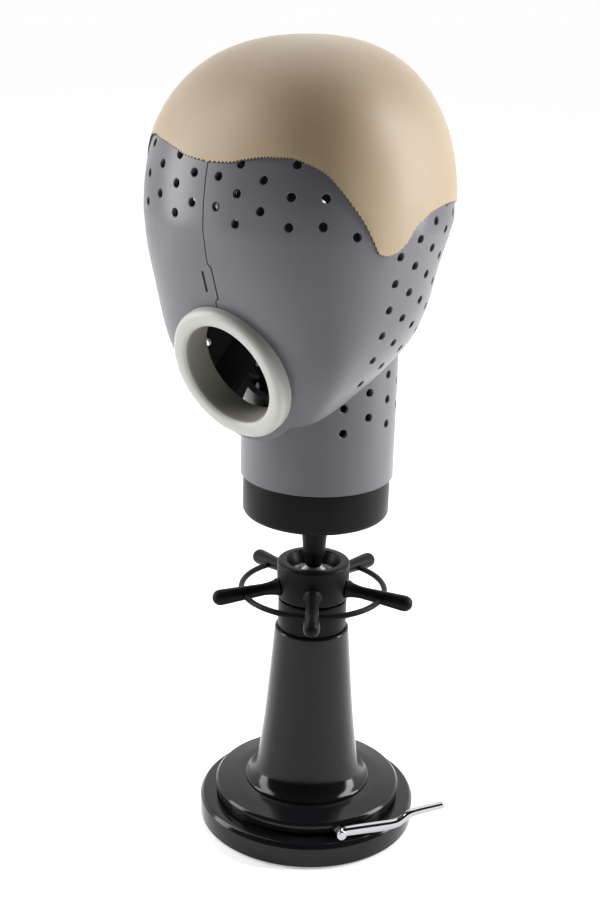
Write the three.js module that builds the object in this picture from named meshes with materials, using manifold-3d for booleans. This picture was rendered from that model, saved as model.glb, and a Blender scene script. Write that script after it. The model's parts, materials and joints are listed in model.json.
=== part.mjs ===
// Perforated training head for drying and dressing wigs, on a ball-jointed stand with a suction base.
// Millimetres, +Z up, origin at the centre of the foot. The face looks along -Y.
import * as THREE from 'three';
import { mergeVertices } from 'three/addons/utils/BufferGeometryUtils.js';
import Module from 'manifold-3d';

const wasm = await Module();
wasm.setup();

// ---------------------------------------------------------------- driving dimensions
const GAP = 0.3;                    // play left between neighbouring pieces
const FLAT_ENOUGH = 0.06;           // facets this close to one plane are merged

const BASE = {
  r: 66, sillZ: 0.8, roofZ: 13.2, ledgeZ: 15.8, skirt: 3.2, edge: 2.6, centreHole: 14,
  ribInner: 57, ribOuter: 60,                      // rib that presses on the rim of the rubber pad
};
const COVER = { r: 56.6, bottomZ: 16.1, grooveZ: 17.4, edgeZ: 24.4, topZ: 26.6, wall: 2.2, holeR: 30 };
const PAD = { r: 61, thick: 3, bossR: 12, bossZ: 7 };
const COLUMN = {
  footR: 38, footZ: 26.9, waistR: 27.1, waistZ: 69, topR: 22.2, topZ: 127.6, wall: 3,
  plugR: 29.6, plugBore: 26.2, plugZ: 16.1,        // plug that stands inside the base cover
  floorZ: 122.6, boreR: 10,                        // floor under the collar
};
const SCREW = {
  circleR: 22.6, firstAngle: 30, count: 3,         // angles from +X
  postR: 4.2, postTopZ: 30, boreR: 1.7, boreTopZ: 25, clearR: 1.8,
  headR: 3, headLowZ: 10.2, headTopZ: 12.6, shankR: 1.4, tipZ: 22.8,
};
const COLLAR = {
  r: 20.5, bottomZ: 127.9, shoulderZ: 146, threadR: 18.5, threadTopZ: 156.5, bore: 16.2,
  spigotR: 9.7, spigotZ: 120.9, drainR: 5,
};

const BALL = { z: 156, r: 11.5 };
const LINER = { inner: BALL.r + GAP, outer: 13.6 };
const SEAT = { inner: LINER.outer + GAP, r: 15.9, bore: 5, bottomZ: 139, topZ: 152.5 };
const CLAMP_RING = { inner: BALL.r + GAP, r: 18.3, bottomZ: 158.6, topZ: 162.4 };
const HUB = { r: 21.6, bottomZ: 147.5, roofZ: 162.8, topZ: 170, bore: 18.9, mouthLow: 12.4, mouthHigh: 16.2 };
const ARM = { count: 5, rootR: 3.5, tipR: 4.75, length: 57.7, rootZ: 154.5, tipZ: 151.2 };
const RIM = { r: 42.7, wireR: 1.75, z: 151.9 };

const STEM = {
  neckR: 4.6, neckZ: 169, lowR: 6.8, lowZ: 173, taperZ: 178, topR: 8.1, taperTopZ: 190, topZ: 201.1,
  pegR: 6, pegZ: 213.4,
};
const WASHER = { r: 9, thick: 1.2 };
const PEG_SCREW = { r: 4.5, rimRise: 1.6, topR: 3, rise: 2.8 };
const CAP = {
  r: 42.7, bottomZ: 201.4, floorZ: 205.4, rimZ: 225.6, fillet: 3, wall: 3, spigotR: 41.1, spigotZ: 233,
  bossR: 13, bossZ: 211.5, bossBore: 9.8,
};
const BUSHING = { bore: 6.3, r: 9.5, lowZ: 201.7, topZ: 212.4 };
const NECK = { r: 44.4, wall: 3, roof: 2.5, bottomZ: 225.9, spigotR: 38, spigotWall: 2.6, spigotRise: 6 };

const SHELL = { wall: 2.6, seam: 0.3 };
const JAW = { y: -62, z: 269, slope: 30.5 };       // underside plane of the head, rising to the back
const TAB = { x: 2.4, lowZ: 342.5, highZ: 363 };   // snap tab that bridges the seam above the mouth
const SLOT = { x: -4.6, width: 1.5, lowZ: 347, highZ: 358 };
const VENT_R = 2.3;

const MOUTH = { y: -71.8, z: 300.5, tilt: 18.5 };  // centre and downward tilt of the nozzle ring
const RING = { r: 38.6, bore: 28.9, barrelR: 32.7, crest: 6.6, skirt: 8, barrel: 11.2 };
const NUT = { r: 37.6, front: -7, back: -10.6 };
const CHIN = { r: 43, back: -13.9 };                // round boss behind the ring, below the jaw plane

const SCALP = { inner: 1.3, outer: 2.4 };
const LEFT_TEMPLE = { turn: -50, spread: 16, rise: 5.5 };   // the cover's edge sits higher there

const LEVER_AZIMUTH = 60;                          // degrees from -Y towards +X
const CAM = {
  z: 19.7, shaftR: 2.3, throw: 3, pinR: 3, webR: 6.3, webFrom: 3.5, webTo: 5.5, inner: -16, squareR: 1.9,
};
const YOKE = { halfThick: 2.6, rail: 2.6, sidePlay: 0.6, play: 0.8 };
const BEARING = { halfWidth: 6.5, rise: 2.1, inner: [-16, -9], outer: [42, 49] };
const LEVER = { plane: 57.6, thick: 5, bevel: 0.8, hubR: 3.6, tipAlong: 66, tipRise: 7.3, tipR: 2.1 };
const LEVER_CAP = { r: 3.2, thick: 1.5 };

// ---------------------------------------------------------------- materials
const finish = (color, roughness, metalness = 0) => ({ color, roughness, metalness });
const FINISH = {
  greyShell: finish(0x8d8e95, 0.35),
  scalp: finish(0xa18c6f, 0.6),
  ivory: finish(0xbfbfba, 0.45),
  blackPlastic: finish(0x1d1d1f, 0.25),
  blackSatin: finish(0x161616, 0.5),
  nylon: finish(0xd9d6cc, 0.5),
  rubber: finish(0x121212, 0.85),
  chrome: finish(0xc9cacc, 0.12, 1),
  steel: finish(0x9a9b9d, 0.35, 1),
};

const object = new THREE.Group();

/** Adds one named piece made of the given closed geometry. */
function piece(name, geometry, surface, parent = object) {
  const mesh = new THREE.Mesh(geometry, new THREE.MeshStandardMaterial(surface));
  mesh.name = name;
  parent.add(mesh);
  return mesh;
}

// ---------------------------------------------------------------- geometry helpers
const rad = THREE.MathUtils.degToRad;

/** Signed volume of an indexed closed surface. */
function volumeOf(geometry) {
  const p = geometry.attributes.position;
  const index = geometry.index.array;
  const [a, b, c] = [new THREE.Vector3(), new THREE.Vector3(), new THREE.Vector3()];
  let sum = 0;
  for (let i = 0; i < index.length; i += 3) {
    a.fromBufferAttribute(p, index[i]);
    b.fromBufferAttribute(p, index[i + 1]);
    c.fromBufferAttribute(p, index[i + 2]);
    sum += a.dot(b.cross(c)) / 6;
  }
  return sum;
}

/** Welds a geometry by position, drops collapsed triangles and turns its faces outward. */
function weld(geometry) {
  const bare = geometry.clone();
  bare.deleteAttribute('normal');
  bare.deleteAttribute('uv');
  const merged = mergeVertices(bare, 1e-4);
  const source = merged.index.array;
  const kept = [];
  for (let i = 0; i < source.length; i += 3) {
    const [a, b, c] = [source[i], source[i + 1], source[i + 2]];
    if (a !== b && b !== c && a !== c) kept.push(a, b, c);
  }
  merged.setIndex(kept);
  if (volumeOf(merged) < 0) {
    for (let i = 0; i < kept.length; i += 3) [kept[i], kept[i + 1]] = [kept[i + 1], kept[i]];
    merged.setIndex(kept);
  }
  return merged;
}

/** A closed geometry as a solid that can be cut and joined. */
function solid(geometry) {
  const g = weld(geometry);
  return new wasm.Manifold(new wasm.Mesh({
    numProp: 3,
    vertProperties: new Float32Array(g.attributes.position.array),
    triVerts: new Uint32Array(g.index.array),
  }));
}

/** A cut or joined solid as a geometry again. */
function geometryOf(manifold) {
  const mesh = manifold.simplify(FLAT_ENOUGH).getMesh();
  const geometry = new THREE.BufferGeometry();
  geometry.setAttribute('position', new THREE.BufferAttribute(new Float32Array(mesh.vertProperties), 3));
  geometry.setIndex(Array.from(mesh.triVerts));
  return geometry;
}

/** A solid turned about Z from [radius, height] pairs that close on themselves or on the axis. */
function turned(profile, segments = 24) {
  const closed = [...profile];
  const [first, last] = [profile[0], profile[profile.length - 1]];
  if (first[0] > 0 || last[0] > 0) closed.push(first);
  const points = closed.map(([r, z]) => new THREE.Vector2(r, z));
  return weld(new THREE.LatheGeometry(points, segments).rotateX(Math.PI / 2));
}

/** A quarter-round run of [radius, height] points about a centre, angles in degrees from the +r axis. */
function arc(cr, cz, radius, from, to, steps = 4) {
  return Array.from({ length: steps + 1 }, (_, i) => {
    const a = rad(from + (to - from) * i / steps);
    return [cr + radius * Math.cos(a), cz + radius * Math.sin(a)];
  });
}

/** A cylinder along +Z between two heights. */
function cylinder(radius, low, high, segments = 32) {
  return turned([[0, low], [radius, low], [radius, high], [0, high]], segments);
}

/** A box between two corners. */
function block(low, high) {
  const size = high.map((h, i) => h - low[i]);
  const middle = high.map((h, i) => (h + low[i]) / 2);
  return new THREE.BoxGeometry(...size).translate(...middle);
}

/** Interpolates [height, value] points with a monotone cubic. */
function smooth(points) {
  const slope = (i) => {
    if (i <= 0 || i >= points.length - 1) return null;
    const before = (points[i][1] - points[i - 1][1]) / (points[i][0] - points[i - 1][0]);
    const after = (points[i + 1][1] - points[i][1]) / (points[i + 1][0] - points[i][0]);
    return before * after <= 0 ? 0 : 2 * before * after / (before + after);
  };
  return (z) => {
    let i = 0;
    while (i < points.length - 2 && z > points[i + 1][0]) i += 1;
    const [z0, v0] = points[i];
    const [z1, v1] = points[i + 1];
    const chord = (v1 - v0) / (z1 - z0);
    const [m0, m1] = [slope(i) ?? chord, slope(i + 1) ?? chord];
    const t = THREE.MathUtils.clamp((z - z0) / (z1 - z0), 0, 1);
    const h = z1 - z0;
    return v0 * (1 + 2 * t) * (1 - t) ** 2 + m0 * h * t * (1 - t) ** 2
      + v1 * t * t * (3 - 2 * t) + m1 * h * t * t * (t - 1);
  };
}

// ---------------------------------------------------------------- the head's outer form
const FORM = { bottomZ: 252, wideZ: 379, crownZ: 471, domePower: 2.37, crownY: -12 };
const halfWidth = smooth([[240, 34], [258, 36], [270, 40], [301, 60], [322, 69], [343, 75], [379, 82.3]]);
const faceReach = smooth([[240, 53], [258, 58.5], [301, 71.5], [343, 86.5], [363, 92.5], [379, 95.5]]);
const napeReach = smooth([[300, 44.4], [322, 44.4], [343, 45.2], [379, 65.6]]);
const middleY = smooth([[270, -41.3], [301, -44.5], [343, -24], [379, -21.7]]);
const facePower = smooth([[301, 3.4], [379, 2.5]]);            // above 2: a broad, flat face
const napePower = smooth([[290, 1.6], [322, 2.3], [379, 1.97]]);

/** A level section of the head: half width, front and back depth from its middle, and their powers. */
function section(z) {
  const { wideZ, crownZ, domePower, crownY } = FORM;
  const level = Math.min(z, wideZ);
  const mid = middleY(level);
  const powers = { facePower: facePower(level), napePower: napePower(level) };
  const [w, front, back] = [halfWidth(level), faceReach(level) + mid, napeReach(level) - mid];
  if (z <= wideZ) return { w, front, back, mid, ...powers };
  const u = Math.min(1, (z - wideZ) / (crownZ - wideZ));
  const s = (1 - u ** domePower) ** (1 / domePower);
  return { w: w * s, front: front * s, back: back * s, mid: crownY + (mid - crownY) * s, ...powers };
}

/** Point of the head's surface: turn runs from 0 at the face to PI at the nape, positive towards +X. */
function headPoint(turn, z) {
  const { w, front, back, mid, ...powers } = section(z);
  const [c, s] = [Math.cos(turn), Math.sin(turn)];
  const power = 2 / (c > 0 ? powers.facePower : powers.napePower);
  const along = Math.abs(c) ** power * (c > 0 ? -front : back);
  return new THREE.Vector3(w * Math.sign(s) * Math.abs(s) ** power, mid + along, z);
}

/** Outward normal of the head's surface, by differences. */
function headNormal(turn, z) {
  const e = 1e-3;
  const high = Math.min(z + 0.05, FORM.crownZ - 0.001);
  const across = headPoint(turn + e, z).sub(headPoint(turn - e, z));
  const up = headPoint(turn, high).sub(headPoint(turn, high - 0.1));
  return across.cross(up).normalize();
}

/** Point a given distance outside the head's surface. */
function headOffset(turn, z, distance) {
  return headPoint(turn, z).addScaledVector(headNormal(turn, z), distance);
}

/** Heights of level rings from a low one to just under the crown, closer together near the crown. */
function headHeights(low, sideRings, domeRings) {
  const { wideZ, crownZ } = FORM;
  const side = Array.from({ length: sideRings }, (_, i) => low + (wideZ - low) * i / sideRings);
  const dome = Array.from({ length: domeRings }, (_, i) => (
    wideZ + (crownZ - wideZ) * Math.sin(Math.PI / 2 * i / domeRings)
  ));
  return [...side, ...dome];
}

/** A closed surface through stacked rings of points, with a pole at each end. */
function lofted(rings, bottom, top) {
  const n = rings[0].length;
  const points = [...rings.flat(), bottom, top];
  const index = [];
  for (let i = 0; i < rings.length - 1; i += 1) {
    for (let j = 0; j < n; j += 1) {
      const k = (j + 1) % n;
      const [a, b, c, d] = [i * n + j, i * n + k, (i + 1) * n + k, (i + 1) * n + j];
      index.push(a, b, c, a, c, d);
    }
  }
  const [low, high] = [points.length - 2, points.length - 1];
  for (let j = 0; j < n; j += 1) {
    const k = (j + 1) % n;
    index.push(low, k, j);
    index.push(high, (rings.length - 1) * n + j, (rings.length - 1) * n + k);
  }
  const geometry = new THREE.BufferGeometry();
  geometry.setAttribute('position', new THREE.Float32BufferAttribute(points.flatMap((p) => p.toArray()), 3));
  geometry.setIndex(index);
  return weld(geometry);
}

/** The head form grown by a distance, as a closed solid from below the jaw to the crown. */
function headForm(distance, around, sideRings, domeRings) {
  const rings = headHeights(FORM.bottomZ, sideRings, domeRings);
  const turns = Array.from({ length: around }, (_, j) => 2 * Math.PI * j / around);
  const loops = rings.map((z) => turns.map((t) => headOffset(t, z, distance)));
  const bottom = new THREE.Vector3(0, middleY(FORM.bottomZ), loops[0][0].z);
  const top = new THREE.Vector3(0, FORM.crownY, FORM.crownZ + distance);
  return solid(lofted(loops, bottom, top));
}

/** Everything on one side of the jaw plane moved up by a distance along its normal: 1 above, -1 below. */
function jawSide(side, distance) {
  const size = 400;
  const slab = new THREE.BoxGeometry(size, size, size).translate(0, 0, distance + side * size / 2);
  slab.rotateX(rad(JAW.slope)).translate(0, JAW.y, JAW.z);
  return solid(slab);
}

/** Height of the jaw plane at a distance behind the head's middle. */
const jawHeight = (y) => JAW.z + (y - JAW.y) * Math.tan(rad(JAW.slope));

/** Turns a geometry made along +Z so that it stands on the mouth's axis, +Z pointing out of the face. */
function onMouth(geometry) {
  return geometry.rotateX(rad(90 + MOUTH.tilt)).translate(0, MOUTH.y, MOUTH.z);
}

// ---------------------------------------------------------------- vents
const VENT = {
  side: 5,
  front: [                                            // [distance from the seam, heights]
    [8.4, [407, 392]],
    [21.2, [414.4, 400, 385]],
    [35.3, [408, 392.8]],
    [49.7, [416.5, 401, 386.2]],
    [63.5, [401, 387.2]],
    [74.1, [382]],
  ],
  sideColumns: {
    firstY: -34.5, stepY: 13.75, firstZ: 369.1, stepZ: 7.7, rising: 3, pitch: 14.3, rows: 6, count: 7,
  },
  neckColumns: {
    firstTurn: 58.4, stepTurn: 20.6, firstZ: 277, stepZ: 7.4, rising: 2, pitch: 14.3, count: 5,
  },
  jawRoom: 9,                                         // least height of a head vent over the jaw plane
  neckRoom: 7,                                        // least depth of a neck vent under the jaw plane
  lowestZ: 259.6,
};

/** Height of the top vent of a column: rising for the first few columns, then staggered. */
function columnTop({ firstZ, stepZ, rising }, i) {
  const stagger = i > rising && (i - rising) % 2 ? stepZ : 0;
  return firstZ + stepZ * Math.min(i, rising) - stagger;
}

/** Finds the turn at which the head's surface at a height has the given x or y. */
function turnAt(axis, value, z, low, high) {
  let [a, b] = [low, high];
  const rising = headPoint(high, z)[axis] > headPoint(low, z)[axis];
  for (let i = 0; i < 40; i += 1) {
    const m = (a + b) / 2;
    if ((headPoint(m, z)[axis] < value) === rising) a = m;
    else b = m;
  }
  return (a + b) / 2;
}

/** Places of the vents in one side of the head, as [turn, height]. */
function headVents() {
  const places = [];
  for (const [x, heights] of VENT.front) {
    for (const z of heights) places.push([turnAt('x', x, z, 0, Math.PI / 2), z]);
  }
  const { firstY, stepY, pitch, rows, count } = VENT.sideColumns;
  for (let i = 0; i < count; i += 1) {
    const y = firstY + stepY * i;
    for (let k = 0; k < rows; k += 1) {
      const z = columnTop(VENT.sideColumns, i) - pitch * k;
      const room = z > jawHeight(y) + VENT.jawRoom && y < napeReach(z) - 3;
      if (room) places.push([turnAt('y', y, z, 0.2, Math.PI), z]);
    }
  }
  return places;
}

/** A short prism along +Z that cuts one vent. */
function ventCutter(length) {
  return new THREE.CylinderGeometry(VENT_R, VENT_R, length, VENT.side).rotateX(Math.PI / 2);
}

/** Cutters for the vents in both sides of the head. */
function headVentCutters() {
  const up = new THREE.Vector3(0, 0, 1);
  const cutters = [];
  for (const [turn, z] of headVents()) {
    for (const side of [1, -1]) {
      const turnSigned = side * turn;
      const point = headPoint(turnSigned, z);
      const spin = new THREE.Quaternion().setFromUnitVectors(up, headNormal(turnSigned, z));
      cutters.push(solid(ventCutter(12).applyQuaternion(spin).translate(...point.toArray())));
    }
  }
  return cutters;
}

/** Cutters for the vents round the back of the neck. */
function neckVentCutters() {
  const { firstTurn, stepTurn, pitch, count } = VENT.neckColumns;
  const cutters = [];
  for (let i = 0; i < count; i += 1) {
    const turn = firstTurn + stepTurn * i;
    const [x, y] = [Math.sin(rad(turn)) * NECK.r, -Math.cos(rad(turn)) * NECK.r];
    for (let z = columnTop(VENT.neckColumns, i); z > VENT.lowestZ; z -= pitch) {
      if (z > jawHeight(y) - VENT.neckRoom) continue;
      for (const side of [1, -1]) {
        const cutter = ventCutter(12).rotateX(Math.PI / 2).rotateZ(side * rad(turn));
        cutters.push(solid(cutter.translate(side * x, y, z)));
      }
    }
  }
  return cutters;
}

const cutAll = (body, cutters) => cutters.reduce((left, cutter) => left.subtract(cutter), body);
const joinAll = (solids) => solids.reduce((sum, next) => sum.add(next));

// ---------------------------------------------------------------- head shells
function makeShells() {
  const { wall } = SHELL;
  const chin = solid(onMouth(cylinder(CHIN.r, CHIN.back, 40, 32)));
  const chinRoom = solid(onMouth(cylinder(CHIN.r - wall, CHIN.back + wall, 40, 32)));
  const outer = headForm(0, 32, 7, 6).subtract(jawSide(-1, 0).subtract(chin));
  const inner = headForm(-wall, 24, 5, 5).subtract(jawSide(-1, wall).subtract(chinRoom));
  const hole = solid(cylinder(NECK.spigotR + GAP, 278, 345, 28));
  const mouth = solid(onMouth(cylinder(RING.barrelR + GAP, -30, 30, 28)));
  const slot = solid(block(
    [SLOT.x - SLOT.width / 2, -110, SLOT.lowZ],
    [SLOT.x + SLOT.width / 2, -60, SLOT.highZ],
  ));
  const closed = outer.subtract(inner);
  const shell = cutAll(closed, [hole, mouth, slot, ...headVentCutters()]);
  const half = SHELL.seam / 2;
  const rightSide = solid(block([-200, -200, 200], [-half, 200, 500]));
  const leftSide = solid(block([half, -200, 200], [200, 200, 500]));
  const tab = solid(block([-half, -120, TAB.lowZ], [TAB.x, -60, TAB.highZ]));
  const tabRoom = solid(block([-1, -120, TAB.lowZ - GAP], [TAB.x + GAP, -60, TAB.highZ + GAP]));
  piece('head_shell_right', geometryOf(shell.intersect(rightSide.add(tab))), FINISH.greyShell);
  piece('head_shell_left', geometryOf(shell.intersect(leftSide.subtract(tabRoom))), FINISH.greyShell);
}

// ---------------------------------------------------------------- scalp cover
/** Height of the cover's edge at a turn: a peak at the forehead, a sideburn, then level to the nape. */
const hairlineKnots = smooth([
  [0, 413.4], [7, 414.4], [13, 416.6], [24, 418.9], [32, 419], [40, 416.3], [47, 412.5], [53.5, 405],
  [60, 395.5], [64.7, 387.7], [69, 378.5], [73, 372.6], [77, 371.3], [81, 372.5], [84, 376], [87, 382.5],
  [90, 386.7], [97, 390.5], [107, 391.9], [122, 390], [180, 386],
]);

function hairline(degrees) {
  const turn = degrees <= 180 ? degrees : degrees - 360;
  const { turn: middle, spread, rise } = LEFT_TEMPLE;
  return hairlineKnots(Math.abs(turn)) + rise * Math.exp(-(((turn - middle) / spread) ** 2));
}

function makeScalp() {
  const around = 44;
  const up = 7;
  const layer = (distance) => Array.from({ length: up }, (_, i) => (
    Array.from({ length: around }, (_, j) => {
      const degrees = 360 * j / around;
      const edge = hairline(degrees);
      const share = Math.sin(Math.PI / 2 * i / up);
      return headOffset(rad(degrees), edge + (FORM.crownZ - edge) * share, distance);
    })
  ));
  const outer = layer(SCALP.outer);
  const inner = layer(SCALP.inner).reverse();
  const top = new THREE.Vector3(0, FORM.crownY, FORM.crownZ + SCALP.outer);
  const under = new THREE.Vector3(0, FORM.crownY, FORM.crownZ + SCALP.inner);
  piece('scalp_cover', lofted([...inner, ...outer], under, top), FINISH.scalp);
}

// ---------------------------------------------------------------- nozzle ring and its nut
function makeNozzleRing() {
  const lip = 3;
  const ring = turned([
    [RING.bore, -RING.barrel], [RING.barrelR, -RING.barrel],
    [RING.barrelR, -RING.skirt], [RING.r, -RING.skirt],
    ...arc(RING.r - lip, RING.crest - lip, lip, 0, 90, 2),
    ...arc(RING.bore + lip, RING.crest - lip, lip, 90, 180, 2),
  ], 28);
  const face = headForm(GAP, 32, 7, 6).subtract(solid(onMouth(cylinder(RING.barrelR + 0.02, -60, 60, 28))));
  piece('nozzle_ring', geometryOf(solid(onMouth(ring)).subtract(face)), FINISH.ivory);
  const nut = turned([
    [RING.barrelR + GAP, NUT.back], [NUT.r, NUT.back], [NUT.r, NUT.front], [RING.barrelR + GAP, NUT.front],
  ], 24);
  piece('nozzle_ring_nut', onMouth(nut), FINISH.blackSatin);
}

// ---------------------------------------------------------------- neck and its cap
function makeNeck() {
  const { r, wall, roof, bottomZ, spigotR, spigotWall, spigotRise } = NECK;
  const tube = (radius, plane, low) => solid(cylinder(radius, low, 360, 28)).subtract(jawSide(1, plane));
  const outside = tube(r, -GAP, bottomZ).add(tube(spigotR, spigotRise, bottomZ + 5));
  const inside = tube(r - wall, -GAP - roof, bottomZ - 5)
    .add(tube(spigotR - spigotWall, spigotRise + 5, bottomZ));
  piece('neck_tube', geometryOf(cutAll(outside.subtract(inside), neckVentCutters())), FINISH.greyShell);

  const c = CAP;
  const cupR = c.spigotR - c.wall;
  piece('neck_cap', turned([
    [c.bossBore, c.bottomZ],
    ...arc(c.r - c.fillet, c.bottomZ + c.fillet, c.fillet, -90, 0, 2),
    [c.r, c.rimZ], [c.spigotR, c.rimZ], [c.spigotR, c.spigotZ], [cupR, c.spigotZ], [cupR, c.floorZ],
    [c.bossR, c.floorZ], [c.bossR, c.bossZ], [c.bossBore, c.bossZ],
  ]), FINISH.blackSatin);
  piece('peg_bushing', turned([
    [BUSHING.bore, BUSHING.lowZ], [BUSHING.r, BUSHING.lowZ],
    [BUSHING.r, BUSHING.topZ], [BUSHING.bore, BUSHING.topZ],
  ], 28), FINISH.nylon);
}

// ---------------------------------------------------------------- stem and ball
function makeStem() {
  const { neckR, neckZ, lowR, lowZ, taperZ, topR, taperTopZ, topZ, pegR, pegZ } = STEM;
  const ballTop = BALL.z + Math.sqrt(BALL.r ** 2 - neckR ** 2);
  const topAngle = THREE.MathUtils.radToDeg(Math.acos(neckR / BALL.r));
  piece('clamp_ball', turned([
    [0, BALL.z - BALL.r], ...arc(0, BALL.z, BALL.r, -90, topAngle, 9).slice(1), [0, ballTop - GAP / 2],
  ], 20), FINISH.steel);
  piece('stem', turned([
    [0, ballTop + GAP / 2], [neckR, ballTop + GAP / 2], [neckR, neckZ], [lowR, lowZ], [lowR, taperZ],
    [topR, taperTopZ], [topR, topZ], [pegR, topZ], [pegR, pegZ], [0, pegZ],
  ], 20), FINISH.blackSatin);
  const washerZ = pegZ + GAP;
  const screwZ = washerZ + WASHER.thick + GAP;
  piece('peg_washer', cylinder(WASHER.r, washerZ, washerZ + WASHER.thick, 20), FINISH.steel);
  piece('peg_screw', turned([
    [0, screwZ], [PEG_SCREW.r, screwZ], [PEG_SCREW.r, screwZ + PEG_SCREW.rimRise],
    [PEG_SCREW.topR, screwZ + PEG_SCREW.rise], [0, screwZ + PEG_SCREW.rise],
  ], 16), FINISH.steel);
  piece('ball_liner', turned([
    ...arc(0, BALL.z, LINER.outer, -75, -12, 5), ...arc(0, BALL.z, LINER.inner, -12, -75, 5),
  ], 20), FINISH.nylon);
}

// ---------------------------------------------------------------- clamp and hand wheel
function makeClamp() {
  const { inner, r, bottomZ, topZ } = CLAMP_RING;
  const low = Math.asin((bottomZ - BALL.z) / inner);
  const high = Math.asin((topZ - BALL.z) / inner);
  piece('clamp_ring', turned([
    [r, bottomZ], [r, topZ], ...arc(0, BALL.z, inner, THREE.MathUtils.radToDeg(high),
      THREE.MathUtils.radToDeg(low), 3),
  ], 20), FINISH.nylon);

  const wheel = new THREE.Group();
  object.add(wheel);
  const edge = 1.2;
  piece('wheel_hub', turned([
    [HUB.bore, HUB.bottomZ], [HUB.r, HUB.bottomZ],
    ...arc(HUB.r - edge, HUB.topZ - edge, edge, 0, 90, 3),
    [HUB.mouthHigh, HUB.topZ], [HUB.mouthLow, HUB.roofZ], [HUB.bore, HUB.roofZ],
  ]), FINISH.blackSatin, wheel);

  const rim = new THREE.TorusGeometry(RIM.r, RIM.wireR, 6, 32).translate(0, 0, RIM.z);
  piece('wheel_rim', weld(rim), FINISH.blackSatin, wheel);

  const start = HUB.r + 2 * GAP;
  const profile = [[0, start], [ARM.rootR, start], ...arc(0, ARM.length, ARM.tipR, 0, 90, 5)];
  profile[profile.length - 1][0] = 0;
  const drop = Math.atan2(ARM.rootZ - ARM.tipZ, ARM.length - HUB.r);
  const rimRoom = new THREE.TorusGeometry(RIM.r, RIM.wireR + GAP, 6, 32).translate(0, 0, RIM.z);
  for (let i = 0; i < ARM.count; i += 1) {
    const arm = turned(profile, 8).rotateX(Math.PI / 2 + drop);
    arm.translate(0, 0, ARM.rootZ + HUB.r * Math.tan(drop)).rotateZ(rad(40 + 360 / ARM.count * i));
    piece(`wheel_arm_${i + 1}`, geometryOf(solid(arm).subtract(solid(rimRoom))), FINISH.blackSatin, wheel);
  }
}

// ---------------------------------------------------------------- column and ball seat
/** Direction of the lever's shaft, and pieces made along +X turned to it. */
const alongShaft = (geometry) => geometry.rotateZ(rad(LEVER_AZIMUTH - 90));

/** A rod along the shaft's axis between two distances from the column's centre. */
function rod(radius, from, to, segments = 12, z = CAM.z) {
  return cylinder(radius, from, to, segments).rotateY(Math.PI / 2).translate(0, 0, z);
}

/** Centres of the screws that hold the column to the base. */
const screwPlaces = Array.from({ length: SCREW.count }, (_, i) => {
  const angle = rad(SCREW.firstAngle + 360 / SCREW.count * i);
  return [SCREW.circleR * Math.cos(angle), SCREW.circleR * Math.sin(angle), 0];
});

function makeColumn() {
  const { footR, footZ, waistR, waistZ, topR, topZ, wall, plugR, plugBore, plugZ, floorZ, boreR } = COLUMN;
  const skirt = smooth([
    [27.5, footR], [30, 35.2], [35, 32.4], [44, 30.2], [56, 28.6], [waistZ, waistR], [topZ, topR],
  ]);
  const heights = [27.5, 29, 31.5, 36, 43, 54, waistZ, topZ];
  const outside = heights.map((z) => [skirt(z), z]);
  const inside = [...heights].reverse().filter((z) => z > 39 && z < floorZ).map((z) => [skirt(z) - wall, z]);
  const body = solid(turned([
    [plugR, plugZ], [plugR, footZ], [footR + 0.4, footZ],
    ...outside, [boreR, topZ], [boreR, floorZ], [skirt(floorZ) - wall, floorZ],
    ...inside, [plugBore, 36], [plugBore, plugZ],
  ], 24));
  const passage = solid(alongShaft(rod(CAM.shaftR + 1, 20, 40)));
  const atScrews = (radius, low, high, segments) => (
    screwPlaces.map((at) => solid(cylinder(radius, low, high, segments).translate(...at)))
  );
  const posts = atScrews(SCREW.postR, plugZ, SCREW.postTopZ, 16);
  const bores = atScrews(SCREW.boreR, plugZ - 6, SCREW.boreTopZ, 12);
  piece('column', geometryOf(cutAll(joinAll([body, ...posts]), [passage, ...bores])), FINISH.blackPlastic);
  screwPlaces.forEach((at, i) => {
    const screw = turned([
      [0, SCREW.headLowZ], [SCREW.headR, SCREW.headLowZ], [SCREW.headR, SCREW.headTopZ],
      [SCREW.shankR, SCREW.headTopZ + 0.4], [SCREW.shankR, SCREW.tipZ - 0.8], [0, SCREW.tipZ],
    ], 14).translate(...at);
    piece(`column_screw_${i + 1}`, screw, FINISH.steel);
  });

  const { r, bottomZ, shoulderZ, threadR, threadTopZ, bore, spigotR, spigotZ, drainR } = COLLAR;
  piece('column_collar', turned([
    [spigotR, spigotZ], [spigotR, bottomZ], [r, bottomZ], [r, shoulderZ], [threadR, shoulderZ],
    [threadR, threadTopZ], [bore, threadTopZ], [bore, SEAT.bottomZ - GAP], [drainR, SEAT.bottomZ - GAP],
    [drainR, spigotZ],
  ]), FINISH.blackSatin);
  const seatTurn = THREE.MathUtils.radToDeg(Math.asin((SEAT.topZ - BALL.z) / SEAT.inner));
  piece('ball_seat', turned([
    [SEAT.bore, SEAT.bottomZ], [SEAT.r, SEAT.bottomZ], [SEAT.r, SEAT.topZ],
    ...arc(0, BALL.z, SEAT.inner, seatTurn, -69, 4),
  ]), FINISH.steel);
}

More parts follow.
